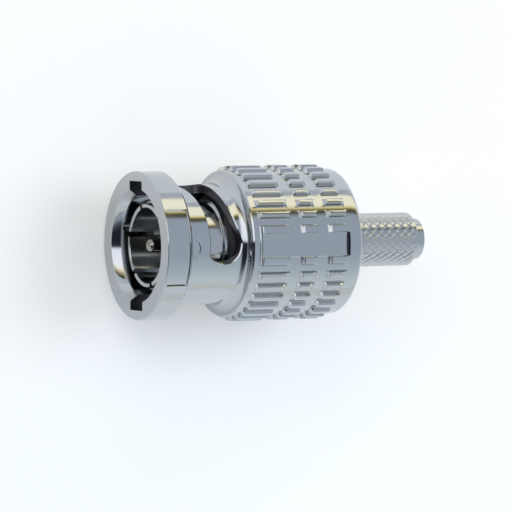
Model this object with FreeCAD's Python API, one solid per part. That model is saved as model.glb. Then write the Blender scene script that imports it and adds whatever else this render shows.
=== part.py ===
import FreeCAD, Part
import math
import os

os.makedirs("parts", exist_ok=True)

Vector = FreeCAD.Vector
Vector2d = FreeCAD.Base.Vector2d

# Driving dimensions in millimetres, along the axis from the mating face
length = 30.35
cable_diameter = 3.1

# Fits
running_clearance = 0.06
washer_play = 0.1
seat_gap = 0.01
cable_clearance = 0.05

# Coupling nut, front ring and neck
ring_radius = 7.1
ring_thickness = 2.65
ring_rear_chamfer = 0.25
mouth_radius = 5.45
mouth_funnel = 0.8
notch_width = 2.64
notch_radius = 6.17
notch_end = 5.6
name_panel_half_angle = 30.0
name_panel_start = 0.25
name_panel_end = 2.38
name_panel_depth = 0.15
neck_radius = 5.76
neck_fillet = 1.0
dimple_radius = 1.0
dimple_position = 3.1
dimple_angle = -2.0
dimple_depth = 0.14

# Bayonet slot, angles in degrees from the pad side towards the entry notch
slot_entry_angle = 90.0
slot_seat_angle = -8.5
slot_round_angle = 3.5
slot_bottom_angle = -17.0
slot_front_seat = 5.14
slot_front_drop = 1.0
slot_front_span = 70.0
slot_rear_entry = 6.95
slot_rear_run = 1.5
slot_rear_power = 1.6
slot_start_angle = 86.0
slot_wall_margin = 1.6

# Coupling nut, grip
shoulder_position = 9.0
shoulder_chamfer = 0.13
grip_start = 9.69
grip_end = 19.22
grip_base_radius = 7.08
rib_height = 0.42
rib_end_slope = 0.24
rib_embed = 0.08
band_centre_front = 13.59
band_centre_rear = 16.51
band_width = 1.06
pad_half_angle = 14.3
pad_root_angle = 15.6
rib_first_angle = 23.6
ribs_per_side = 14
rib_top_angle = 3.6
rib_root_angle = 5.8
panel_half_width = 1.18
panel_depth = 0.85
panel_start = 9.85
panel_end = 19.4
nut_end = 20.85
nut_end_round = 0.5
nut_shoulder_front = 11.2
nut_shoulder_rear = 12.4
nut_rear_bore_radius = 5.2

# Connector body with its spigot
flange_radius = 4.7
flange_front = 8.7
flange_rear = 9.8
stem_radius = 4.05
stem_end = 20.05
stem_nose = 0.7
ring_groove_radius = 3.6
spigot_radius = 2.61
spigot_end = 29.6
spigot_chamfer = 0.4
spigot_tip_radius = 2.0
cavity_end = 14.6

# Outer contact
contact_front = 1.05
contact_radius = 4.05
contact_front_chamfer = 0.15
contact_bore_radius = 3.6
contact_collar_front = 7.3
contact_collar_radius = 4.3
contact_tail_radius = 3.72
contact_end = 11.3
contact_stop_radius = 3.0
contact_stop_front = 7.0
finger_count = 6
finger_slot_width = 0.52
finger_first_angle = 45.0

# Insulators
bead_front = 7.42
bead_rear = 11.9
bead_radius = 3.28
bush_front = 12.0
bush_rear = 14.5

# Centre pin
pin_tip = 1.2
pin_radius = 0.7
pin_nose = 0.5
pin_shoulder = 7.9
pin_ferrule_radius = 1.05
pin_end = 13.9
ferrule_bore_radius = 0.55
ferrule_bore_start = 9.9
crimp_window_radius = 0.3
crimp_window_position = 10.6

# Gasket, washers and retaining ring
gasket_front = 7.75
gasket_radius = 4.78
washer_front = 10.9
washer_thickness = 0.3
washer_width = 0.69
wave_thickness = 0.2
wave_count = 3
wave_width = 0.59
retainer_thickness = 0.6
retainer_radius = 4.75
retainer_gap_width = 2.4
retainer_play = 0.05

# Placing: the part lies on one pad of the grip, clear ridges of which carry it
grip_radius = grip_base_radius + rib_height
stem_clear_radius = stem_radius + running_clearance
nut_bore_radius = stem_clear_radius + washer_width + washer_play
rest_height = math.sqrt(grip_radius ** 2 - panel_half_width ** 2)
place = Vector(-length / 2, 0, rest_height)
axis = Vector(1, 0, 0)
origin = Vector(0, 0, 0)


def arc_points(x, radius, size, start, end, steps):
    # Points of an arc about (x, radius), with angles from the axis direction outwards
    points = []
    for i in range(steps + 1):
        turn = math.radians(start + (end - start) * i / steps)
        points.append((x + size * math.cos(turn), radius + size * math.sin(turn)))
    return points


def turned(points):
    corners = [Vector(x, 0, r) for x, r in points]
    face = Part.Face(Part.makePolygon(corners + corners[:1]))
    return face.revolve(origin, axis, 360)


def tube(start, end, inner, outer):
    return turned([(start, inner), (end, inner), (end, outer), (start, outer)])


def rod(start, end, radius):
    return Part.makeCylinder(radius, end - start, Vector(start, 0, 0), axis)


def spun(shape, angle):
    # Angles run from +Z towards +Y, seen from the mating face
    copy = shape.copy()
    copy.rotate(origin, axis, -angle)
    return copy


def radial_box(start, end, width, inner, outer, angle):
    box = Part.makeBox(end - start, width, outer - inner, Vector(start, -width / 2, inner))
    return spun(box, angle)


def radial_rod(position, radius, inner, outer, angle):
    return spun(Part.makeCylinder(radius, outer - inner, Vector(position, 0, inner)), angle)


def on_wall(x, radius, angle):
    turn = math.radians(angle)
    return Vector(x, radius * math.sin(turn), radius * math.cos(turn))


def save(name, shape):
    solid = shape.removeSplitter()
    solid.translate(place)
    solid.exportStep("parts/" + name + ".step")


# Bayonet slot: a cam outline drawn on a cylinder and thickened outwards, so that its walls are radial
def slot_front_edge(angle):
    return slot_front_seat - slot_front_drop * (angle / slot_front_span) ** 2


def slot_rear_edge(angle):
    share = 1 - max(angle, 0) / slot_entry_angle
    return slot_rear_entry + slot_rear_run * share ** slot_rear_power


def wall_curve(surface, points):
    curve = Part.Geom2d.BSplineCurve2d()
    curve.interpolate([Vector2d(math.radians(-angle), x) for angle, x in points])
    return curve.toShape(surface)


def bayonet_slot():
    surface = Part.Cylinder()
    surface.Radius = nut_bore_radius - 0.4
    steps = 6
    front_sweep = slot_start_angle - slot_seat_angle
    rear_sweep = slot_start_angle - slot_round_angle
    front = []
    rear = []
    for i in range(steps + 1):
        angle = slot_start_angle - front_sweep * i / steps
        front.append((angle, slot_front_edge(angle)))
        angle = slot_round_angle + rear_sweep * i / steps
        rear.append((angle, slot_rear_edge(angle)))
    # The seat closes on a half round between the last point of the front edge and the first of the rear
    first_angle, first_x = front[-1]
    last_angle, last_x = rear[0]
    centre_x = (first_x + last_x) / 2
    half_x = (last_x - first_x) / 2
    seat = [(first_angle, first_x)]
    for i in range(1, steps):
        turn = math.pi * i / steps
        base = first_angle + (last_angle - first_angle) * i / steps
        depth = (base - slot_bottom_angle) * math.sin(turn)
        seat.append((base - depth, centre_x - half_x * math.cos(turn)))
    seat.append((last_angle, last_x))
    closing = Part.Geom2d.Line2dSegment(
        Vector2d(math.radians(-rear[-1][0]), rear[-1][1]),
        Vector2d(math.radians(-front[0][0]), front[0][1]),
    )
    edges = [
        wall_curve(surface, front),
        wall_curve(surface, seat),
        wall_curve(surface, rear),
        closing.toShape(surface),
    ]
    outline = Part.Wire(Part.__sortEdges__(edges))
    patch = Part.Face(surface, outline)
    solid = patch.makeOffsetShape(neck_radius - surface.Radius + slot_wall_margin, 0.001, fill=True)
    solid.rotate(origin, Vector(1, 0, 1), 180)
    return solid


# Grip: two smooth pads and rows of ribs, with turned bands between the rows
grip_rows = [
    (grip_start, band_centre_front - band_width / 2),
    (band_centre_front + band_width / 2, band_centre_rear - band_width / 2),
    (band_centre_rear + band_width / 2, grip_end),
]


def rib(row):
    # A bar whose sides and ends slope, set a little into the wall that carries it
    start, end = row
    top_turn = math.radians(rib_top_angle / 2)
    top_height = grip_radius * math.cos(top_turn)
    top_half = grip_radius * math.sin(top_turn)
    side_slope = (grip_base_radius * math.sin(math.radians(rib_root_angle / 2)) - top_half) / rib_height
    end_slope = rib_end_slope / rib_height
    drop = top_height - grip_base_radius + rib_embed
    front = start + rib_end_slope
    rear = end - rib_end_slope
    spread = end_slope * drop
    root_half = top_half + side_slope * drop
    bar = Part.makeWedge(
        front - spread, top_height - drop, -root_half, -top_half, front,
        rear + spread, top_height, root_half, top_half, rear,
    )
    bar.rotate(origin, axis, 90)
    return bar


def pad(row):
    start, end = row
    reach = grip_radius + rib_end_slope
    floor = grip_base_radius - rib_embed
    slope = rib_end_slope / rib_height
    block = turned([
        (start - slope * rib_embed, floor),
        (end + slope * rib_embed, floor),
        (end - slope * (reach - grip_base_radius), reach),
        (start + slope * (reach - grip_base_radius), reach),
    ])
    section = Part.Face(Part.Wire([
        Part.makeLine(on_wall(0, floor, -pad_root_angle), on_wall(0, grip_radius, -pad_half_angle)),
        Part.Arc(
            on_wall(0, grip_radius, -pad_half_angle),
            on_wall(0, grip_radius, 0),
            on_wall(0, grip_radius, pad_half_angle),
        ).toShape(),
        Part.makeLine(on_wall(0, grip_radius, pad_half_angle), on_wall(0, floor, pad_root_angle)),
        Part.makeLine(on_wall(0, floor, pad_root_angle), on_wall(0, floor, -pad_root_angle)),
    ]))
    section.translate(Vector(start - rib_height, 0, 0))
    return section.extrude(Vector(end - start + 2 * rib_height, 0, 0)).common(block)


def grip_shapes():
    pitch = (180.0 - 2 * rib_first_angle) / (ribs_per_side - 1)
    shapes = []
    for row in grip_rows:
        bar = rib(row)
        block = pad(row)
        for side in range(2):
            turn = 180.0 * side
            shapes.append(spun(block, turn))
            for i in range(ribs_per_side):
                shapes.append(spun(bar, turn + rib_first_angle + pitch * i))
    return shapes


def coupling_nut():
    fillet_start = shoulder_position - neck_fillet
    round_start = nut_end - nut_end_round
    outside = [
        (0, ring_radius),
        (ring_thickness - ring_rear_chamfer, ring_radius),
        (ring_thickness, ring_radius - ring_rear_chamfer),
        (ring_thickness, neck_radius),
    ]
    outside += arc_points(fillet_start, neck_radius + neck_fillet, neck_fillet, -90, 0, 3)
    outside += [
        (shoulder_position, grip_base_radius - shoulder_chamfer),
        (shoulder_position + shoulder_chamfer, grip_base_radius),
    ]
    outside += arc_points(round_start, grip_base_radius - nut_end_round, nut_end_round, 90, 0, 2)
    inside = [
        (nut_end, nut_rear_bore_radius),
        (nut_shoulder_rear, nut_rear_bore_radius),
        (nut_shoulder_rear, stem_clear_radius),
        (nut_shoulder_front, stem_clear_radius),
        (nut_shoulder_front, nut_bore_radius),
        (mouth_funnel, nut_bore_radius),
        (0, mouth_radius),
    ]
    nut = turned(outside + inside).fuse(grip_shapes())
    cuts = []
    slot = bayonet_slot()
    for side in range(2):
        turn = 180.0 * side
        cuts.append(spun(slot, turn))
        # Entry notch, which runs in from the face and ends on the radius of the mill
        entry = slot_entry_angle + turn
        cuts.append(radial_box(-1, notch_end, notch_width, nut_bore_radius - 0.4, notch_radius, entry))
        cuts.append(radial_rod(notch_end, notch_width / 2, nut_bore_radius - 0.4, notch_radius, entry))
        # Flat panel sunk in the pad
        panel_floor = grip_radius - panel_depth
        cuts.append(radial_box(panel_start, panel_end, 2 * panel_half_width, panel_floor, grip_radius + 1, turn))
    panel = tube(name_panel_start, name_panel_end, ring_radius - name_panel_depth, ring_radius + 1)
    reach = 2 * ring_radius
    wedge = Part.Face(Part.makePolygon([
        origin,
        on_wall(0, reach, -name_panel_half_angle),
        on_wall(0, reach, name_panel_half_angle),
        origin,
    ])).extrude(Vector(ring_thickness, 0, 0))
    cuts.append(panel.common(wedge))
    dimple = radial_rod(dimple_position, dimple_radius, neck_radius - dimple_depth, neck_radius + 0.4, dimple_angle)
    rear_half = Part.makeBox(2 * ring_radius, 2 * ring_radius, 2 * ring_radius, Vector(ring_thickness, -ring_radius, 0))
    cuts.append(dimple.common(rear_half))
    return nut.cut(cuts)


# Body, turned from one bar: flange, stem with a groove for the retaining ring, and spigot
def connector_body():
    socket = contact_tail_radius + seat_gap
    cavity = bead_radius + 2 * seat_gap
    cable_bore = cable_diameter / 2 + cable_clearance
    groove_front = nut_shoulder_rear + retainer_play
    groove_rear = groove_front + retainer_thickness + 2 * seat_gap
    return turned([
        (flange_front, socket),
        (flange_front, flange_radius),
        (flange_rear, flange_radius),
        (flange_rear, stem_radius),
        (groove_front, stem_radius),
        (groove_front, ring_groove_radius),
        (groove_rear, ring_groove_radius),
        (groove_rear, stem_radius),
        (stem_end, stem_radius),
        (stem_end + stem_nose, spigot_radius),
        (spigot_end - spigot_chamfer, spigot_radius),
        (spigot_end, spigot_tip_radius),
        (length, spigot_tip_radius),
        (length, cable_bore),
        (cavity_end, cable_bore),
        (cavity_end, cavity),
        (contact_end + seat_gap, cavity),
        (contact_end + seat_gap, socket),
    ])


# Outer contact: a sleeve sawn into spring fingers, pressed into the body
def outer_contact():
    sleeve = turned([
        (contact_front, contact_bore_radius),
        (contact_front, contact_radius - contact_front_chamfer),
        (contact_front + contact_front_chamfer, contact_radius),
        (contact_collar_front, contact_radius),
        (contact_collar_front, contact_collar_radius),
        (flange_front - seat_gap, contact_collar_radius),
        (flange_front - seat_gap, contact_tail_radius),
        (contact_end, contact_tail_radius),
        (contact_end, bead_radius + seat_gap),
        (bead_front - seat_gap, bead_radius + seat_gap),
        (bead_front - seat_gap, contact_stop_radius),
        (contact_stop_front, contact_stop_radius),
        (contact_stop_front, contact_bore_radius),
    ])
    cuts = []
    for i in range(finger_count):
        angle = finger_first_angle + 360.0 / finger_count * i
        cuts.append(radial_box(0, contact_stop_front, finger_slot_width, 0, contact_radius + 1, angle))
    return sleeve.cut(cuts)


def front_insulator():
    return turned([
        (bead_front, pin_radius + seat_gap),
        (bead_front, bead_radius),
        (bead_rear, bead_radius),
        (bead_rear, pin_ferrule_radius + seat_gap),
        (pin_shoulder - seat_gap, pin_ferrule_radius + seat_gap),
        (pin_shoulder - seat_gap, pin_radius + seat_gap),
    ])


def rear_insulator():
    return turned([
        (bush_front, pin_ferrule_radius + seat_gap),
        (bush_front, bead_radius),
        (bush_rear, bead_radius),
        (bush_rear, cable_diameter / 2 + cable_clearance),
        (pin_end + 0.1, cable_diameter / 2 + cable_clearance),
        (pin_end + 0.1, pin_ferrule_radius + seat_gap),
    ])


# Centre pin with a rounded nose and a crimp ferrule drilled from behind
def center_pin():
    nose = arc_points(pin_tip + pin_nose, pin_radius - pin_nose, pin_nose, 180, 90, 2)
    pin = turned([(pin_tip, 0)] + nose + [
        (pin_shoulder, pin_radius),
        (pin_shoulder, pin_ferrule_radius),
        (pin_end, pin_ferrule_radius),
        (pin_end, 0),
    ])
    drill = rod(ferrule_bore_start, pin_end + 1, ferrule_bore_radius)
    window = radial_rod(crimp_window_position, crimp_window_radius, 0, pin_ferrule_radius + 1, 90)
    return pin.cut([drill, window])


def front_gasket():
    inner = contact_collar_radius + seat_gap
    return turned([
        (gasket_front, inner),
        (gasket_front, gasket_radius),
        (flange_front - seat_gap, gasket_radius),
        (flange_front - seat_gap, inner),
    ])


# Wave washer: a ring that rises and falls round its circle between the flange and the flat washer
def wave_washer():
    outer = stem_clear_radius + wave_width
    low = flange_rear + seat_gap
    high = washer_front - seat_gap - wave_thickness
    samples = 4 * wave_count
    rims = []
    for radius in (stem_clear_radius - wave_thickness, outer + wave_thickness):
        points = []
        for i in range(samples):
            angle = 360.0 * i / samples
            rise = (1 - math.cos(math.radians(angle * wave_count))) / 2
            points.append(on_wall(low + (high - low) * rise, radius, angle))
        curve = Part.BSplineCurve()
        curve.interpolate(points, PeriodicFlag=True)
        rims.append(Part.Wire(curve.toShape()))
    plate = Part.makeRuledSurface(rims[0], rims[1]).extrude(Vector(wave_thickness, 0, 0))
    return plate.common(tube(flange_rear, washer_front, stem_clear_radius, outer))


def thrust_washer():
    outer = stem_clear_radius + washer_width
    return tube(washer_front, washer_front + washer_thickness - seat_gap, stem_clear_radius, outer)


def retaining_ring():
    front = nut_shoulder_rear + retainer_play + seat_gap
    ring = tube(front, front + retainer_thickness, ring_groove_radius + seat_gap, retainer_radius)
    gap = radial_box(front - 1, front + retainer_thickness + 1, retainer_gap_width, 0, retainer_radius + 1, 0)
    return ring.cut(gap)


save("coupling_nut", coupling_nut())
save("connector_body", connector_body())
save("outer_contact", outer_contact())
save("front_insulator", front_insulator())
save("rear_insulator", rear_insulator())
save("center_pin", center_pin())
save("front_gasket", front_gasket())
save("wave_washer", wave_washer())
save("thrust_washer", thrust_washer())
save("retaining_ring", retaining_ring())
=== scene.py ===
import math

import bpy
from mathutils import Matrix, Vector


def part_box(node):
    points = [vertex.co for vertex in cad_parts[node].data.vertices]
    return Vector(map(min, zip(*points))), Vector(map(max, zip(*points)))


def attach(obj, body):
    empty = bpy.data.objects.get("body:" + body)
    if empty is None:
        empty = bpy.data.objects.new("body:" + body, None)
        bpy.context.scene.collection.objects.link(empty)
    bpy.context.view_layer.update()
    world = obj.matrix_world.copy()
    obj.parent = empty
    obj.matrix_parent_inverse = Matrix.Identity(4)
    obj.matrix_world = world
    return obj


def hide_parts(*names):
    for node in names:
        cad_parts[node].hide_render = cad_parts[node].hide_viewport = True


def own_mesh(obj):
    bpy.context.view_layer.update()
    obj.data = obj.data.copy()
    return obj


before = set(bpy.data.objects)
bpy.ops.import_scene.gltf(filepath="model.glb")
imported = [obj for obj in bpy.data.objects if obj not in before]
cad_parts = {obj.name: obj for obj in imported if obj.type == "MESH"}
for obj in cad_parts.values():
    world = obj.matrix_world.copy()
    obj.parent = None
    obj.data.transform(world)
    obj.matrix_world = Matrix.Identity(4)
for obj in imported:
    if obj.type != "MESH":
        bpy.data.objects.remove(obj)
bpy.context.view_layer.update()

# Coupling nut: one piece of brass bar, turned, milled and plated with bright nickel. Its front
# ring has two entry notches, its neck two bayonet slots, and its grip three rows of ribs between
# two smooth pads. It is drawn as rings of points along the axis, and the mills then cut it.
mm = 0.001
face_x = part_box("coupling_nut")[0][0]
pin_low, pin_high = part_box("center_pin")
axis_z = (pin_low[2] + pin_high[2]) / 2


def linear(code):
    # An sRGB hex value as linear red, green and blue, with full alpha
    channels = [int(code[i:i + 2], 16) / 255 for i in (1, 3, 5)]
    return tuple(
        c / 12.92 if c <= 0.04045 else ((c + 0.055) / 1.055) ** 2.4 for c in channels
    ) + (1.0,)


def add_node(tree, kind, inputs={}, stops=(), **settings):
    # A node with its settings, the values or links of its sockets, and the stops of a colour ramp
    new = tree.nodes.new(kind)
    for name, value in settings.items():
        setattr(new, name, value)
    for name, value in inputs.items():
        if isinstance(value, bpy.types.NodeSocket):
            tree.links.new(value, new.inputs[name])
        else:
            new.inputs[name].default_value = value
    if stops:
        elements = new.color_ramp.elements
        while len(elements) < len(stops):
            elements.new(0.5)
        for element, (position, code) in zip(elements, stops):
            element.position = position
        for element, (position, code) in zip(elements, stops):
            element.color = linear(code)
    return new


def new_material(name):
    material = bpy.data.materials.new(name)
    material.use_nodes = True
    material.node_tree.nodes.clear()
    return material, material.node_tree


# Bright nickel over polished brass: a mirror-like grey metal. Its faint orange peel makes the edges
# of reflections waver, and polishing haze blurs them more in some patches than in others.
peel_size = 0.9
haze_size = 2.5
noise_low = 0.3
noise_high = 0.7
bright_nickel, tree = new_material("bright_nickel_plate")
place = add_node(tree, "ShaderNodeTexCoord")
peel = add_node(tree, "ShaderNodeTexNoise", {
    "Vector": place.outputs["Object"], "Scale": 1 / (peel_size * mm), "Detail": 2.0,
})
haze = add_node(tree, "ShaderNodeTexNoise", {
    "Vector": place.outputs["Object"], "Scale": 1 / (haze_size * mm), "Detail": 4.0,
})
haze_range = add_node(tree, "ShaderNodeMapRange", {
    "Value": haze.outputs["Fac"], "From Min": noise_low, "From Max": noise_high,
    "To Min": 0.07, "To Max": 0.14,
})
peel_bump = add_node(tree, "ShaderNodeBump", {
    "Height": peel.outputs["Fac"], "Strength": 0.1, "Distance": 0.02 * mm,
})
nickel = add_node(tree, "ShaderNodeBsdfPrincipled", {
    "Base Color": linear("#B7BABD"), "Metallic": 1.0,
    "Roughness": haze_range.outputs["Result"], "Normal": peel_bump.outputs["Normal"],
})
add_node(tree, "ShaderNodeOutputMaterial", {"Surface": nickel.outputs["BSDF"]})

# Milled walls of the slots and notches: the plate lies dull there over the cutter's marks. Their
# soft dark grey, far darker than the bright outside, is painted shade for the shade inside the
# slots and notches. The marks are drawn 0.08 mm apart, a little coarser than real ones, so that
# they show.
cutter_mark = 0.08
shaded_milled_nickel, tree = new_material("milled_nickel_painted_shade")
place = add_node(tree, "ShaderNodeTexCoord")
mill_marks = add_node(tree, "ShaderNodeTexNoise", {
    "Vector": place.outputs["Object"], "Scale": 1 / (cutter_mark * mm), "Detail": 2.0,
})
# Painted shade: the walls' dark grey stands in for the shade inside the slots and notches, and the
# cutter's marks vary it a little
marks_and_shade_tone = add_node(
    tree, "ShaderNodeValToRGB", {"Fac": mill_marks.outputs["Fac"]},
    stops=[(noise_low, "#5C5A5E"), (noise_high, "#74747A")],
)
mark_bump = add_node(tree, "ShaderNodeBump", {
    "Height": mill_marks.outputs["Fac"], "Strength": 0.2, "Distance": 0.01 * mm,
})
dull_shaded_wall = add_node(tree, "ShaderNodeBsdfPrincipled", {
    "Base Color": marks_and_shade_tone.outputs["Color"], "Metallic": 1.0,
    "Roughness": 0.34, "Normal": mark_bump.outputs["Normal"],
})
add_node(tree, "ShaderNodeOutputMaterial", {"Surface": dull_shaded_wall.outputs["BSDF"]})

# Columns of the nut: an angle, how much of the grip's height stands there, and how deep in the
# pad's flat panel the column lies. The panel's columns stand at fixed distances from its middle.
base_radius = 7.08
grip_radius = 7.5
panel_distance = 6.65
rib_pitch = 10.2154
first_rib = 23.6
ribs_per_side = 14
rib_columns = [
    (-3.1, 0.0), (-2.75, 0.08), (-1.95, 0.88), (-1.75, 0.97), (-1.45, 1.0), (0.0, 1.0),
    (1.45, 1.0), (1.75, 0.97), (1.95, 0.88), (2.75, 0.08), (3.1, 0.0),
]
pad_columns = [
    (15.9, 0.0), (15.5, 0.08), (14.5, 0.88), (14.25, 0.97), (13.9, 1.0), (12.9, 1.0),
    (11.8, 1.0), (10.7, 1.0),
]
panel_columns = [
    (1.28, 0.0), (1.21, 0.0), (1.185, 0.05), (1.165, 0.93), (1.13, 1.0), (0.85, 1.0),
    (0.55, 1.0), (0.25, 1.0),
]


def groove_columns(start, end):
    # The floor of the groove between two ribs, in five equal steps
    return [(start + (end - start) * step, 0.0, 0.0) for step in (0.2, 0.4, 0.6, 0.8)]


half_pad = [(-angle, height, 0.0) for angle, height in pad_columns]
half_pad += [
    (-math.degrees(math.asin(y / grip_radius)), 1.0, depth) for y, depth in panel_columns
]
whole_pad = half_pad + [(-angle, height, depth) for angle, height, depth in reversed(half_pad)]
columns = []
for side in (0, 180):
    columns += [(side + angle, height, depth) for angle, height, depth in whole_pad]
    for i in range(ribs_per_side):
        middle = side + first_rib + rib_pitch * i
        columns += groove_columns(columns[-1][0], middle + rib_columns[0][0])
        columns += [(middle + angle, height, 0.0) for angle, height in rib_columns]
    columns += groove_columns(columns[-1][0], side + 180 - pad_columns[0][0])


def at(x, radius, angle):
    # A point from its place behind the mating face and its radius in mm, and its angle from the
    # top towards +Y in degrees
    turn = math.radians(angle)
    return (face_x + x * mm, radius * mm * math.sin(turn), axis_z + radius * mm * math.cos(turn))


def round_ring(x, radius, sunk=0.0):
    # A turned ring of the nut, which lies lower by sunk between the two ends of the recess
    ring = []
    for angle, height, depth in columns:
        off = abs((angle + 180) % 360 - 180)
        ring.append(at(x, radius - (sunk if off < recess_half_angle else 0.0), angle))
    return ring


def grip_ring(x, height, panel):
    # A ring of the grip, with the share of the ribs' height that stands here and whether the flat
    # panel is cut here
    ring = []
    for angle, share, depth in columns:
        radius = base_radius + (grip_radius - base_radius) * min(share, height)
        if panel and depth:
            side = math.sin(math.radians(angle)) * grip_radius
            top = math.sqrt(radius ** 2 - side ** 2)
            floor = top + (panel_distance - top) * depth
            upright = 1 if math.cos(math.radians(angle)) > 0 else -1
            ring.append((face_x + x * mm, side * mm, axis_z + upright * floor * mm))
        else:
            ring.append(at(x, radius, angle))
    return ring


# The front ring, with a shallow recess round its top, and the neck up to the fillet at the grip
ring_radius = 7.1
ring_thickness = 2.65
ring_front_chamfer = 0.04
ring_rear_chamfer = 0.25
recess_start = 0.25
recess_middle = 1.3
recess_end = 2.38
recess_wall = 0.02
recess_depth = 0.15
recess_half_angle = 30
neck_radius = 5.76
neck_stations = (3.3, 4.0, 4.8, 5.6, 6.4, 7.2)
corner = 0.05
fillet = 1.0
fillet_steps = 10
grip_front = 9.0
grip_front_chamfer = 0.13
rings = [
    round_ring(0, ring_radius - ring_front_chamfer),
    round_ring(ring_front_chamfer, ring_radius),
    round_ring(recess_start, ring_radius),
    round_ring(recess_start + recess_wall, ring_radius, recess_depth),
    round_ring(recess_middle, ring_radius, recess_depth),
    round_ring(recess_end - recess_wall, ring_radius, recess_depth),
    round_ring(recess_end, ring_radius),
    round_ring(ring_thickness - ring_rear_chamfer, ring_radius),
    round_ring(ring_thickness, ring_radius - ring_rear_chamfer),
    round_ring(ring_thickness, neck_radius + corner),
    round_ring(ring_thickness + corner, neck_radius),
]
rings += [round_ring(x, neck_radius) for x in neck_stations]
for i in range(fillet_steps + 1):
    turn = math.radians(90 * i / fillet_steps)
    rings.append(round_ring(
        grip_front - fillet + fillet * math.sin(turn),
        neck_radius + fillet - fillet * math.cos(turn),
    ))
rings.append(round_ring(grip_front, base_radius - grip_front_chamfer))
rings.append(round_ring(grip_front + grip_front_chamfer, base_radius))

# Each row of ribs rises and falls over its end slopes, whose top and bottom edges are a little
# broken. A slope gives the height at a distance from the row's end.
rows = [(9.69, 13.06), (14.12, 15.98), (17.04, 19.22)]
slope = [(0.0, 0.0), (0.03, 0.06), (0.2, 0.87), (0.24, 0.96), (0.3, 1.0)]
panel_start = 9.85
panel_end = 19.4
panel_wall = 0.01
band_stations = (13.4, 13.78, 16.3, 16.7)
rib_stations = (10.8, 11.8, 12.4, 15.05, 17.9, 18.5)


def grip_height(x):
    for start, end in rows:
        if start <= x <= end:
            edge = min(x - start, end - x)
            for (low, under), (high, over) in zip(slope, slope[1:]):
                if edge <= high:
                    return under + (over - under) * (edge - low) / (high - low)
            return 1.0
    return 0.0


stations = []
for start, end in rows:
    for along, height in slope:
        for x in (start + along, end - along):
            stations.append((x, height, panel_start < x < panel_end))
for x, panel in (
    (panel_start - panel_wall, False), (panel_start + panel_wall, True),
    (panel_end - panel_wall, True), (panel_end + panel_wall, False),
):
    stations.append((x, grip_height(x), panel))
stations += [(x, 0.0, True) for x in band_stations]
stations += [(x, 1.0, True) for x in rib_stations]
rings += [grip_ring(x, height, panel) for x, height, panel in sorted(stations)]

# The rounded rear end, the wide rear bore, the shoulder that pushes on the flat washer, and the
# front bore with the cone that leads the jack in
nut_end = 20.85
end_start = 19.9
end_round = 0.5
end_steps = 8
rear_bore_radius = 5.2
shoulder_front = 11.2
shoulder_rear = 12.4
shoulder_radius = 4.11
nut_bore_radius = 4.9
bore_stations = (9.0, 7.2, 5.6, 4.0, 2.4)
lead_in = [(0.85, nut_bore_radius), (0.75, 4.93), (0.05, 5.42), (0, 5.49)]
rings.append(round_ring(end_start, base_radius))
for i in range(end_steps + 1):
    turn = math.radians(90 * i / end_steps)
    rings.append(round_ring(
        nut_end - end_round + end_round * math.sin(turn),
        base_radius - end_round + end_round * math.cos(turn),
    ))
bore = [
    (nut_end, rear_bore_radius + corner), (nut_end - corner, rear_bore_radius),
    (shoulder_rear, rear_bore_radius), (shoulder_rear, shoulder_radius),
    (shoulder_front, shoulder_radius), (shoulder_front, nut_bore_radius),
]
bore += [(x, nut_bore_radius) for x in bore_stations]
rings += [round_ring(x, radius) for x, radius in bore + lead_in]


def skin(rings):
    # Four-sided faces between rings of equal length, closed round the axis and from the last ring
    # to the first
    count = len(rings[0])
    faces = []
    for i in range(len(rings)):
        here = i * count
        there = (i + 1) % len(rings) * count
        for k in range(count):
            after = (k + 1) % count
            faces.append((here + k, here + after, there + after, there + k))
    return [point for ring in rings for point in ring], faces


def mesh_piece(name, points, faces, material):
    mesh = bpy.data.meshes.new(name)
    mesh.from_pydata(points, [], faces)
    mesh.materials.append(material)
    piece = bpy.data.objects.new(name, mesh)
    bpy.context.scene.collection.objects.link(piece)
    return piece


nut = mesh_piece("coupling_nut_shell", *skin(rings), bright_nickel)


def swept_cutter(name, layers, material):
    # A closed cutter from outlines of equal length, lying one above the other. Its ends are closed
    # by strips from each point to the one opposite, which follow the curve of the neck. The walls
    # that it leaves take its material.
    count = len(layers[0])
    points = [point for layer in layers for point in layer]
    faces = []
    for i in range(len(layers) - 1):
        here = i * count
        there = here + count
        for k in range(count):
            after = (k + 1) % count
            faces.append((here + k, here + after, there + after, there + k))
    last = len(points) - count
    for k in range((count - 1) // 2):
        opposite = count - 1 - k
        strip = [k, k + 1, opposite - 1, opposite] if k + 1 < opposite - 1 else [k, k + 1, opposite]
        faces.append(tuple(reversed(strip)))
        faces.append(tuple(last + point for point in strip))
    return mesh_piece(name, points, faces, material)


# Outline of the bayonet slot on the neck, as places along the axis and angles: the front edge runs
# back from the entry notch to the seat, the seat is half round, and the rear edge returns.
slot_steps = 72
slot_open = 86.0
entry_angle = 90
seat_front_corner = -8.5
seat_rear_corner = 3.5
seat_bottom = -17.0
front_edge_top = 5.14
front_edge_spread = 70
rear_edge_entry = 6.95
cam_rise = 1.5
cam_power = 1.6


def front_edge(angle):
    return front_edge_top - (angle / front_edge_spread) ** 2


def rear_edge(angle):
    # The cam draws the plug onto the jack by its rise as the nut turns from the entry to the seat
    return rear_edge_entry + cam_rise * (1 - angle / entry_angle) ** cam_power


outline = []
for i in range(slot_steps + 1):
    angle = slot_open + (seat_front_corner - slot_open) * i / slot_steps
    outline.append((front_edge(angle), angle))
seat_front = front_edge(seat_front_corner)
seat_rear = rear_edge(seat_rear_corner)
for i in range(1, slot_steps):
    turn = math.pi * i / slot_steps
    base = seat_front_corner + (seat_rear_corner - seat_front_corner) * i / slot_steps
    outline.append((
        (seat_front + seat_rear) / 2 - (seat_rear - seat_front) / 2 * math.cos(turn),
        base - (base - seat_bottom) * math.sin(turn),
    ))
for i in range(slot_steps + 1):
    angle = seat_rear_corner + (slot_open - seat_rear_corner) * i / slot_steps
    outline.append((rear_edge(angle), angle))


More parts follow.
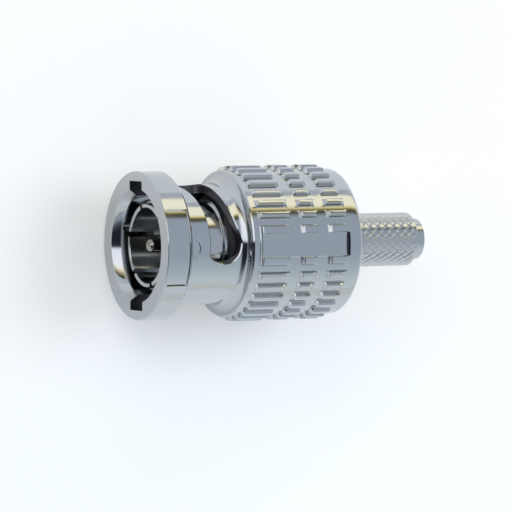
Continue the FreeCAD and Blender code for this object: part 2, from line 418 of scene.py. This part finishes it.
def grown(shape, radius, amount):
    # The outline moved outwards on the neck by an amount in mm
    flat = [(x, math.radians(angle) * radius) for x, angle in shape]
    moved = []
    for i, (x, run) in enumerate(flat):
        before = flat[i - 1]
        after = flat[(i + 1) % len(flat)]
        along = (after[0] - before[0], after[1] - before[1])
        size = math.hypot(*along)
        moved.append((
            x + along[1] / size * amount,
            math.degrees((run - along[0] / size * amount) / radius),
        ))
    return moved


def flat_layer(shape, height, middle):
    # An outline of places along and across, laid flat at a height over the axis in the direction
    # of the middle angle
    layer = []
    for x, run in shape:
        angle = middle + math.degrees(math.atan2(run, height))
        layer.append(at(x, math.hypot(height, run), angle))
    return layer


def circle(middle, radius, steps):
    shape = []
    for i in range(steps):
        turn = math.radians(360 * i / steps)
        shape.append((middle + radius * math.cos(turn), radius * math.sin(turn)))
    return shape


# The slots are cut through the neck, with a bright broken edge round the top, and the notches from
# the mating face into the slots. A shallow round dimple marks the neck behind the ring.
edge_break = 0.08
slot_depth = 1.36
slot_clear = 0.02
slot_top = 0.8
slot_layers = [
    (-slot_depth, 0.0), (-edge_break, 0.0),
    (slot_clear, edge_break + slot_clear), (slot_top, edge_break + slot_clear),
]
notch_width = 2.64
notch_floor = 4.4
notch_radius = 6.17
notch_start = -1
notch_end = 5.6
notch_steps = 24
notch = [(notch_start, -notch_width / 2)]
for i in range(notch_steps + 1):
    turn = math.pi * i / notch_steps
    notch.append((
        notch_end + notch_width / 2 * math.sin(turn), -notch_width / 2 * math.cos(turn),
    ))
notch.append((notch_start, notch_width / 2))
cutters = []
for side in (0, 180):
    layers = []
    for above, amount in slot_layers:
        shape = grown(outline, neck_radius, amount)
        layers.append([at(x, neck_radius + above, angle + side) for x, angle in shape])
    slot_mill = swept_cutter("slot_mill", layers, shaded_milled_nickel)
    slot_mill.data.materials.append(bright_nickel)
    for face in slot_mill.data.polygons[len(outline):2 * len(outline)]:
        face.material_index = 1
    cutters.append(slot_mill)
    entry = entry_angle + side
    layers = [flat_layer(notch, height, entry) for height in (notch_floor, notch_radius)]
    cutters.append(swept_cutter("notch_mill", layers, shaded_milled_nickel))
dimple_place = 3.1
dimple_angle = -2
dimple_depth = 0.14
dimple_floor_radius = 0.94
dimple_top = 0.3
dimple_top_radius = 1.04
dimple_steps = 64
ring_back = ring_thickness + 0.001
layers = []
for above, radius in ((-dimple_depth, dimple_floor_radius), (dimple_top, dimple_top_radius)):
    shape = circle(dimple_place, radius, dimple_steps)
    behind_ring = [(max(x, ring_back), run) for x, run in shape]
    layers.append(flat_layer(behind_ring, neck_radius + above, dimple_angle))
cutters.append(swept_cutter("dimple_mill", layers, bright_nickel))


def cut(piece, cutters):
    # Takes each cutter's shape out of the piece, as a milling cutter does, and clears them away
    for cutter in cutters:
        mill = piece.modifiers.new("mill", "BOOLEAN")
        mill.operation = "DIFFERENCE"
        mill.solver = "EXACT"
        mill.material_mode = "TRANSFER"
        mill.object = cutter
    seen = piece.evaluated_get(bpy.context.evaluated_depsgraph_get())
    shaped = bpy.data.meshes.new_from_object(seen)
    piece.modifiers.clear()
    piece.data = shaped
    for cutter in cutters:
        bpy.data.objects.remove(cutter)


def smooth(piece, limit):
    # Round faces shade smoothly, and every edge that turns by more than the limit stays crisp. Wide
    # faces set the shading, so that a thin broken edge doesn't bend the reflection beside it.
    mesh = piece.data
    mesh.polygons.foreach_set("use_smooth", [True] * len(mesh.polygons))
    mesh.set_sharp_from_angle(angle=math.radians(limit))
    shading = piece.modifiers.new("shading", "WEIGHTED_NORMAL")
    shading.mode = "FACE_AREA"
    shading.weight = 100
    shading.keep_sharp = True


cut(nut, cutters)
smooth(nut, 28)
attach(nut, "nut")
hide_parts("coupling_nut")

# Connector body: a second piece of nickel-plated brass, turned with a flange, a stem with a groove
# and a spigot. A pair of wheels rolls the diamond knurl into the spigot, which grips the braid.
# Under its plate the lathe tool leaves rings about 0.05 mm apart, which soften the reflections.
ring_spacing = 0.05
rings_per_metre_round = 60.0
body_nickel, tree = new_material("turned_nickel_plate")
place = add_node(tree, "ShaderNodeTexCoord")
stretch = add_node(tree, "ShaderNodeMapping", {
    "Vector": place.outputs["Object"],
    "Scale": (1 / (ring_spacing * mm), rings_per_metre_round, rings_per_metre_round),
})
tool_marks = add_node(tree, "ShaderNodeTexNoise", {
    "Vector": stretch.outputs["Vector"], "Scale": 1.0, "Detail": 2.0,
})
haze = add_node(tree, "ShaderNodeTexNoise", {
    "Vector": place.outputs["Object"], "Scale": 1 / (haze_size * mm), "Detail": 4.0,
})
haze_range = add_node(tree, "ShaderNodeMapRange", {
    "Value": haze.outputs["Fac"], "From Min": noise_low, "From Max": noise_high,
    "To Min": 0.12, "To Max": 0.2,
})
tool_bump = add_node(tree, "ShaderNodeBump", {
    "Height": tool_marks.outputs["Fac"], "Strength": 0.12, "Distance": 0.004 * mm,
})
nickel = add_node(tree, "ShaderNodeBsdfPrincipled", {
    "Base Color": linear("#B9BBBD"), "Metallic": 1.0,
    "Roughness": haze_range.outputs["Result"], "Normal": tool_bump.outputs["Normal"],
})
add_node(tree, "ShaderNodeOutputMaterial", {"Surface": nickel.outputs["BSDF"]})

diamonds = 22
parts_per_diamond = 12
diamond_length = 0.87
groove_depth = 0.06
groove_reach = 1.5
knurl_start = 23.3
knurl_end = 28.95
knurl_steps = round((knurl_end - knurl_start) / diamond_length * parts_per_diamond)
knurl_fade = 2
body_columns = diamonds * parts_per_diamond
flange_front = 8.7
flange_rear = 9.8
flange_radius = 4.7
stem_rear = 20.05
stem_radius = 4.05
ring_groove_front = 12.45
ring_groove_rear = 13.07
ring_groove_radius = 3.6
spigot_front = 20.75
spigot_radius = 2.61
body_end = 30.35
tip_radius = 2.0
cable_bore_front = 14.6
cable_bore_radius = 1.6
bush_bore_radius = 3.3
contact_seat_rear = 11.31
contact_seat_radius = 3.73


def turned_ring(x, radius, count):
    return [at(x, radius, 360 * k / count) for k in range(count)]


def groove_share(step, k):
    # How deep a point lies in the two crossing sets of grooves: 0 on a crest, 1 in a groove
    shares = []
    for diagonal in (step + k, step - k):
        off = diagonal % parts_per_diamond
        off = min(off, parts_per_diamond - off)
        shares.append(max(0.0, 1 - off / groove_reach))
    return max(shares)


body_profile = [
    (flange_front, contact_seat_radius), (flange_front, flange_radius - corner),
    (flange_front + corner, flange_radius), (flange_rear - corner, flange_radius),
    (flange_rear, flange_radius - corner), (flange_rear, stem_radius),
    (ring_groove_front, stem_radius), (ring_groove_front, ring_groove_radius),
    (ring_groove_rear, ring_groove_radius), (ring_groove_rear, stem_radius),
    (stem_rear - corner, stem_radius), (stem_rear, stem_radius - corner),
    (spigot_front, spigot_radius), (22.0, spigot_radius),
]
body_tail = [
    (29.2, spigot_radius), (29.25, 2.58), (29.6, 2.04), (29.62, tip_radius),
    (body_end - corner, tip_radius), (body_end, tip_radius - corner),
    (body_end, cable_bore_radius + corner), (body_end - corner, cable_bore_radius),
    (cable_bore_front, cable_bore_radius), (cable_bore_front, bush_bore_radius),
    (contact_seat_rear, bush_bore_radius), (contact_seat_rear, contact_seat_radius),
]
rings = [turned_ring(x, radius, body_columns) for x, radius in body_profile]
for step in range(knurl_steps + 1):
    x = knurl_start + (knurl_end - knurl_start) * step / knurl_steps
    fade = min(1.0, step / knurl_fade, (knurl_steps - step) / knurl_fade)
    ring = []
    for k in range(body_columns):
        radius = spigot_radius - groove_depth * groove_share(step, k) * fade
        ring.append(at(x, radius, 360 * k / body_columns))
    rings.append(ring)
rings += [turned_ring(x, radius, body_columns) for x, radius in body_tail]
points, faces = skin(rings)
knurled = []
for i, face in enumerate(faces):
    step = i // body_columns - len(body_profile)
    k = i % body_columns
    if 0 <= step < knurl_steps:
        # Each little square is split along the groove that it lies nearest to
        rising = (step - k) % parts_per_diamond
        falling = (step + k + 1) % parts_per_diamond
        to_rising = min(rising, parts_per_diamond - rising)
        to_falling = min(falling, parts_per_diamond - falling)
        a, b, c, d = face
        knurled += [(a, b, c), (a, c, d)] if to_rising <= to_falling else [(a, b, d), (b, c, d)]
    else:
        knurled.append(face)
body = mesh_piece("connector_body_turned", points, knurled, body_nickel)
smooth(body, 20)
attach(body, "plug_body")
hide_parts("connector_body")

# Outer contact: a bronze sleeve plated with nickel, sawn from the front into six spring fingers
# and pressed into the body from the front up to its collar.
round_columns = 180
finger_radius = 4.05
finger_bore_radius = 3.6
collar_radius = 4.3
tail_radius = 3.72
bead_bore_radius = 3.29
finger_slot_width = 0.52
finger_slot_end = 7.0
saw_reach = 5
cuts_across = 3
first_cut = 45


def lathe(name, profile, material):
    turned = skin([turned_ring(x, radius, round_columns) for x, radius in profile])
    return mesh_piece(name, *turned, material)


contact = lathe("outer_contact_sleeve", [
    (1.05, 3.66), (1.05, 3.93), (1.08, 3.98), (1.17, 4.04), (1.24, finger_radius),
    (4.2, finger_radius), (7.25, finger_radius), (7.3, 4.1), (7.3, 4.27), (7.33, collar_radius),
    (8.69, collar_radius), (8.69, tail_radius), (11.3, tail_radius), (11.3, bead_bore_radius),
    (7.41, bead_bore_radius), (7.41, 3.0), (7.0, 3.0), (7.0, finger_bore_radius),
    (4.2, finger_bore_radius), (1.11, finger_bore_radius),
], body_nickel)
saws = []
for i in range(cuts_across):
    angle = first_cut + 180 / cuts_across * i
    across = Vector(at(0, 1, angle + 90)) - Vector(at(0, 0, 0))
    along = Vector(at(0, 1, angle)) - Vector(at(0, 0, 0))
    corners = []
    for x in (0, finger_slot_end):
        for u, v in ((-1, -1), (1, -1), (1, 1), (-1, 1)):
            corners.append(
                Vector(at(x, 0, 0)) + across * u * finger_slot_width / 2 + along * v * saw_reach
            )
    saws.append(mesh_piece("slot_saw", corners, [
        (3, 2, 1, 0), (4, 5, 6, 7), (0, 1, 5, 4), (1, 2, 6, 5), (2, 3, 7, 6), (3, 0, 4, 7),
    ], body_nickel))
cut(contact, saws)
smooth(contact, 28)
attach(contact, "plug_body")
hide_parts("outer_contact")

# Front gasket: a ring moulded from black rubber, which lies round the collar of the contact in
# front of the body's flange. The jack presses on it. Fine grain and bloom keep it dark and soft.
grain_size = 0.15
rubber, tree = new_material("moulded_black_rubber")
place = add_node(tree, "ShaderNodeTexCoord")
grain = add_node(tree, "ShaderNodeTexNoise", {
    "Vector": place.outputs["Object"], "Scale": 1 / (grain_size * mm), "Detail": 3.0,
})
bloom = add_node(
    tree, "ShaderNodeValToRGB", {"Fac": grain.outputs["Fac"]},
    stops=[(noise_low, "#121315"), (0.75, "#232529")],
)
grain_bump = add_node(tree, "ShaderNodeBump", {
    "Height": grain.outputs["Fac"], "Strength": 0.3, "Distance": 0.02 * mm,
})
soft = add_node(tree, "ShaderNodeBsdfPrincipled", {
    "Base Color": bloom.outputs["Color"], "Roughness": 0.55, "IOR": 1.52,
    "Normal": grain_bump.outputs["Normal"],
})
add_node(tree, "ShaderNodeOutputMaterial", {"Surface": soft.outputs["BSDF"]})
gasket = lathe("front_gasket_ring", [
    (7.75, 4.36), (7.75, 4.68), (7.78, 4.75), (7.85, 4.78), (8.59, 4.78), (8.66, 4.75),
    (8.69, 4.68), (8.69, 4.36), (8.64, 4.31), (7.8, 4.31),
], rubber)
smooth(gasket, 40)
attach(gasket, "plug_body")
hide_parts("front_gasket")

# Centre pin: brass plated with silver, turned with a rounded nose, and drilled and cross-drilled
# behind so that the cable's inner conductor can be crimped in it. Its colour is kept far darker
# than white metal: a thin warm tarnish lies in patches on it, and the rest of the darkening is
# painted shade for the shade deep in the sleeve's bore.
tarnish_size = 0.5
shaded_silver, tree = new_material("silver_plate_tarnish_and_painted_shade")
place = add_node(tree, "ShaderNodeTexCoord")
tarnish_and_shade = add_node(tree, "ShaderNodeTexNoise", {
    "Vector": place.outputs["Object"], "Scale": 1 / (tarnish_size * mm), "Detail": 3.0,
})
# Painted shade: the tone stays well below white silver for the shade in the sleeve's bore, and its
# patches are tarnish
tarnish_and_shade_tone = add_node(
    tree, "ShaderNodeValToRGB", {"Fac": tarnish_and_shade.outputs["Fac"]},
    stops=[(noise_low, "#7A766E"), (noise_high, "#A9A7A3")],
)
plated = add_node(tree, "ShaderNodeBsdfPrincipled", {
    "Base Color": tarnish_and_shade_tone.outputs["Color"], "Metallic": 1.0, "Roughness": 0.14,
})
add_node(tree, "ShaderNodeOutputMaterial", {"Surface": plated.outputs["BSDF"]})
pin_front = 1.2
pin_radius = 0.7
nose_round = 0.5
crimp_radius = 1.05
crimp_bore_radius = 0.55
window_place = 10.6
window_radius = 0.3
window_steps = 32
window_heights = (0.0, 2.0)
pin_profile = [(pin_front, 0.02)]
for angle in range(0, 91, 9):
    turn = math.radians(angle)
    pin_profile.append((
        pin_front + nose_round * (1 - math.cos(turn)),
        pin_radius - nose_round + nose_round * math.sin(turn),
    ))
pin_profile += [
    (4.5, pin_radius), (7.9, pin_radius), (7.9, 1.02), (7.93, crimp_radius),
    (13.87, crimp_radius), (13.9, 1.02), (13.9, 0.58), (13.87, crimp_bore_radius),
    (9.9, crimp_bore_radius), (9.7, 0.02),
]
pin = lathe("center_pin_turned", pin_profile, shaded_silver)
drill = circle(window_place, window_radius, window_steps)
window = [flat_layer(drill, height, 90) for height in window_heights]
cut(pin, [swept_cutter("window_drill", window, shaded_silver)])
smooth(pin, 30)
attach(pin, "plug_body")
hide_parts("center_pin")

# Insulators: a bead and a bush turned from white fluoropolymer rod. The bead holds the pin in the
# sleeve, and the bush lies behind it in the body's bore. The rod is waxy, with a faint milky cloud.
cloud_size = 1.2
fluoropolymer, tree = new_material("turned_fluoropolymer")
place = add_node(tree, "ShaderNodeTexCoord")
cloud = add_node(tree, "ShaderNodeTexNoise", {
    "Vector": place.outputs["Object"], "Scale": 1 / (cloud_size * mm), "Detail": 3.0,
})
milk = add_node(
    tree, "ShaderNodeValToRGB", {"Fac": cloud.outputs["Fac"]},
    stops=[(noise_low, "#DCDBD6"), (noise_high, "#EDECE8")],
)
waxy = add_node(tree, "ShaderNodeBsdfPrincipled", {
    "Base Color": milk.outputs["Color"], "Roughness": 0.42, "IOR": 1.36,
})
add_node(tree, "ShaderNodeOutputMaterial", {"Surface": waxy.outputs["BSDF"]})
for name in ("front_insulator", "rear_insulator"):
    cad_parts[name].data.materials.clear()
    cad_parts[name].data.materials.append(fluoropolymer)

# Wave washer, flat washer and retaining ring: hardened spring steel, stamped and tumbled, which
# leaves a satin sheen. They lie round the body's stem inside the nut, and little of them shows.
tumble_size = 0.4
spring_steel, tree = new_material("tumbled_spring_steel")
place = add_node(tree, "ShaderNodeTexCoord")
tumble = add_node(tree, "ShaderNodeTexNoise", {
    "Vector": place.outputs["Object"], "Scale": 1 / (tumble_size * mm), "Detail": 5.0,
})
tumble_range = add_node(tree, "ShaderNodeMapRange", {
    "Value": tumble.outputs["Fac"], "From Min": noise_low, "From Max": noise_high,
    "To Min": 0.25, "To Max": 0.4,
})
steel = add_node(tree, "ShaderNodeBsdfPrincipled", {
    "Base Color": linear("#A6A7A9"), "Metallic": 1.0,
    "Roughness": tumble_range.outputs["Result"],
})
add_node(tree, "ShaderNodeOutputMaterial", {"Surface": steel.outputs["BSDF"]})
for name in ("thrust_washer", "retaining_ring"):
    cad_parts[name].data.materials.clear()
    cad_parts[name].data.materials.append(spring_steel)
# The wave washer lies between the flange and the flat washer, which flatten it as the nut slides
# forward; here it is drawn with its waves at rest
waves = 3
wave_low = 9.804
wave_high = 10.688
wave_edge = [
    (0.03, 4.11), (0.0, 4.14), (0.0, 4.67), (0.03, 4.7), (0.17, 4.7), (0.2, 4.67), (0.2, 4.14),
    (0.17, 4.11),
]
wave_rings = []
for behind, radius in wave_edge:
    ring = []
    for k in range(round_columns):
        angle = 360 * k / round_columns
        rise = (1 - math.cos(math.radians(angle * waves))) / 2
        ring.append(at(wave_low + (wave_high - wave_low) * rise + behind, radius, angle))
    wave_rings.append(ring)
wave = mesh_piece("wave_washer_sprung", *skin(wave_rings), spring_steel)
smooth(wave, 40)
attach(wave, "plug_body")
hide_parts("wave_washer")
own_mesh(wave)

# Studio floor: a round sheet of matt white paper, whose rim curves up into a low wall. The camera
# and the reflections see it a little lighter than it is lit, up to white.
paper_lift = 0.25
paper, tree = new_material("white_paper")
matte = add_node(tree, "ShaderNodeBsdfDiffuse", {"Color": linear("#EBEEF1")})
path = add_node(tree, "ShaderNodeLightPath")
seen = add_node(tree, "ShaderNodeMath", {
    0: path.outputs["Is Camera Ray"], 1: path.outputs["Is Glossy Ray"],
}, operation="MAXIMUM")
seen = add_node(tree, "ShaderNodeMath", {
    0: seen.outputs[0], 1: path.outputs["Is Transmission Ray"],
}, operation="MAXIMUM")
lift = add_node(tree, "ShaderNodeMath", {0: seen.outputs[0], 1: paper_lift}, operation="MULTIPLY")
glow = add_node(tree, "ShaderNodeEmission", {
    "Color": linear("#FFFBF6"), "Strength": lift.outputs[0],
})
lit_paper = add_node(tree, "ShaderNodeAddShader", {0: matte.outputs[0], 1: glow.outputs[0]})
add_node(tree, "ShaderNodeOutputMaterial", {"Surface": lit_paper.outputs[0]})
rim_columns = 128
sheet = [(1.25, 0), (1.36, 0.012), (1.43, 0.04), (1.475, 0.085), (1.495, 0.15), (1.5, 0.27)]
floor_points = [(0, 0, 0)]
for reach, rise in sheet:
    for k in range(rim_columns):
        turn = 2 * math.pi * k / rim_columns
        floor_points.append((reach * math.cos(turn), reach * math.sin(turn), rise))
floor_faces = []
for k in range(rim_columns):
    after = (k + 1) % rim_columns
    floor_faces.append((0, 1 + k, 1 + after))
    for here in range(1, len(floor_points) - rim_columns, rim_columns):
        there = here + rim_columns
        floor_faces.append((here + k, there + k, there + after, here + after))
floor = mesh_piece("studio_floor", floor_points, floor_faces, paper)
smooth(floor, 60)

# Light: a soft grey-blue tent that is open to a warm wall along one side. The colour of the world
# follows the direction round the plug's axis, from straight up (0) towards +Y (90 degrees), and
# another set of colours takes over towards the mating face.
side_colours = [
    (-180, "#C8D0D3"), (-90, "#C8D0D3"), (-68, "#C4CCD0"), (-42, "#AEB8BE"), (-18, "#9EA8B3"),
    (44, "#9CA5B0"), (47, "#4A4A3E"), (53, "#55523A"), (56, "#E0CE86"), (60, "#FFF8DC"),
    (76, "#FFF8DC"), (88, "#CACBBC"), (180, "#B9C3CB"),
]
front_colours = [
    (-180, "#848C94"), (-85, "#848C94"), (-66, "#9AA2AA"), (-50, "#4A5058"), (-36, "#23262C"),
    (2, "#1E2026"), (10, "#F2F8FF"), (52, "#FFFFFF"), (58, "#F0E6BE"), (70, "#6A6040"),
    (76, "#1E1E20"), (100, "#1E1E20"), (125, "#7C848C"),
]
world = bpy.data.worlds.new("studio")
bpy.context.scene.world = world
world.use_nodes = True
tree = world.node_tree
tree.nodes.clear()
direction = add_node(tree, "ShaderNodeTexCoord")
split = add_node(tree, "ShaderNodeSeparateXYZ", {0: direction.outputs["Generated"]})
round_axis = add_node(tree, "ShaderNodeMath", {
    0: split.outputs["Y"], 1: split.outputs["Z"],
}, operation="ARCTAN2")
share = add_node(tree, "ShaderNodeMapRange", {
    "Value": round_axis.outputs[0], "From Min": -math.pi, "From Max": math.pi,
})
sides, front = [
    add_node(
        tree, "ShaderNodeValToRGB", {"Fac": share.outputs["Result"]},
        stops=[((angle + 180) / 360, code) for angle, code in colours],
    )
    for colours in (side_colours, front_colours)
]
forward = add_node(tree, "ShaderNodeMapRange", {
    "Value": split.outputs["X"], "From Min": -0.05, "From Max": -0.5,
}, interpolation_type="SMOOTHSTEP")
tent = add_node(tree, "ShaderNodeMix", {
    0: forward.outputs["Result"], 6: sides.outputs["Color"], 7: front.outputs["Color"],
}, data_type="RGBA")
sky = add_node(tree, "ShaderNodeBackground", {"Color": tent.outputs[2], "Strength": 1.65})
add_node(tree, "ShaderNodeOutputWorld", {"Surface": sky.outputs[0]})

# A wide soft lamp stands behind the cable end, high over the plug, and throws its shadow forwards
lamp_size = 0.4
lamp_data = bpy.data.lights.new("soft_box", "AREA")
lamp_data.shape = "RECTANGLE"
lamp_data.size = lamp_size
lamp_data.size_y = lamp_size
lamp_data.energy = 1.05
lamp_data.color = linear("#FFFFFF")[:3]
lamp = bpy.data.objects.new("soft_box", lamp_data)
bpy.context.scene.collection.objects.link(lamp)
lamp.location = (0.36, 0.13, 0.46)
lamp.rotation_euler = (-lamp.location).to_track_quat("-Z", "Y").to_euler()
lamp.visible_glossy = False

# Camera: a long lens that looks down on the plug from in front of its mating face. The scale sets
# the lens, and the place of the mating face's middle in the picture sets where it aims.
image_size = 512
sensor_width = 36
camera_distance = 0.455
pixels_per_mm = 10.5
face_pixel = (135.97, 245.845)
turn = math.radians(25.63)
rise = math.radians(2.44)
roll = math.radians(0.332)
toward = Vector((
    -math.sin(turn) * math.cos(rise), math.sin(rise), math.cos(turn) * math.cos(rise),
))
level = Vector((math.cos(turn), 0, math.sin(turn)))
upright = Vector((
    math.sin(turn) * math.sin(rise), math.cos(rise), -math.cos(turn) * math.sin(rise),
))
right = level * math.cos(roll) - upright * math.sin(roll)
up = level * math.sin(roll) + upright * math.cos(roll)
face_centre = Vector((face_x, 0, axis_z))
eye = face_centre + toward * camera_distance
aim_right = (image_size / 2 - face_pixel[0]) / pixels_per_mm * mm
aim_up = (face_pixel[1] - image_size / 2) / pixels_per_mm * mm
target = face_centre + right * aim_right + up * aim_up
back = (eye - target).normalized()
side_way = up.cross(back).normalized()
camera_data = bpy.data.cameras.new("camera")
camera = bpy.data.objects.new("camera", camera_data)
bpy.context.scene.collection.objects.link(camera)
bpy.context.scene.camera = camera
rotation = Matrix((side_way, back.cross(side_way), back)).transposed()
camera.matrix_world = Matrix.Translation(eye) @ rotation.to_4x4()
camera_data.sensor_width = sensor_width
camera_data.lens = sensor_width * camera_distance / (image_size / pixels_per_mm * mm)
camera_data.clip_start = 0.01
bpy.context.scene.view_settings.view_transform = "Standard"
